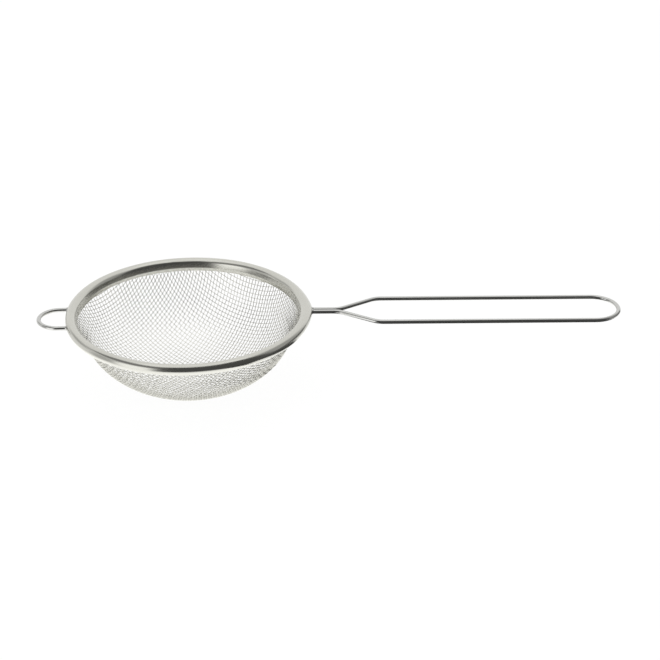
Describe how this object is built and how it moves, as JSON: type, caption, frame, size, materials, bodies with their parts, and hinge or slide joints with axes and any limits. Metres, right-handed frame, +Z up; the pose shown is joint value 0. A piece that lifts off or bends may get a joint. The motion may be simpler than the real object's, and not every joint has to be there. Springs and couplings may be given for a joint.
{
  "type": "mesh sieve",
  "caption": "Round wire-mesh sieve with a rolled steel rim, a long wire-loop handle and a small rest loop, for sifting and straining over a bowl or pot.",
  "frame": {"origin": "middle of the flat spot under the mesh bowl", "axes": "+Z up through the open side of the bowl, +X from the middle of the bowl along the handle"},
  "size_m": [0.287, 0.12, 0.041],
  "materials": {
    "rim_steel": "satin stainless sheet with fine marks round the rim",
    "mesh_steel": "bright woven stainless wire",
    "wire_steel": "smooth polished stainless wire"
  },
  "bodies": {
    "root": {"rim": "rim_steel", "mesh_bowl": "mesh_steel", "handle": "wire_steel", "rest_loop": "wire_steel"}
  },
  "joints": []
}
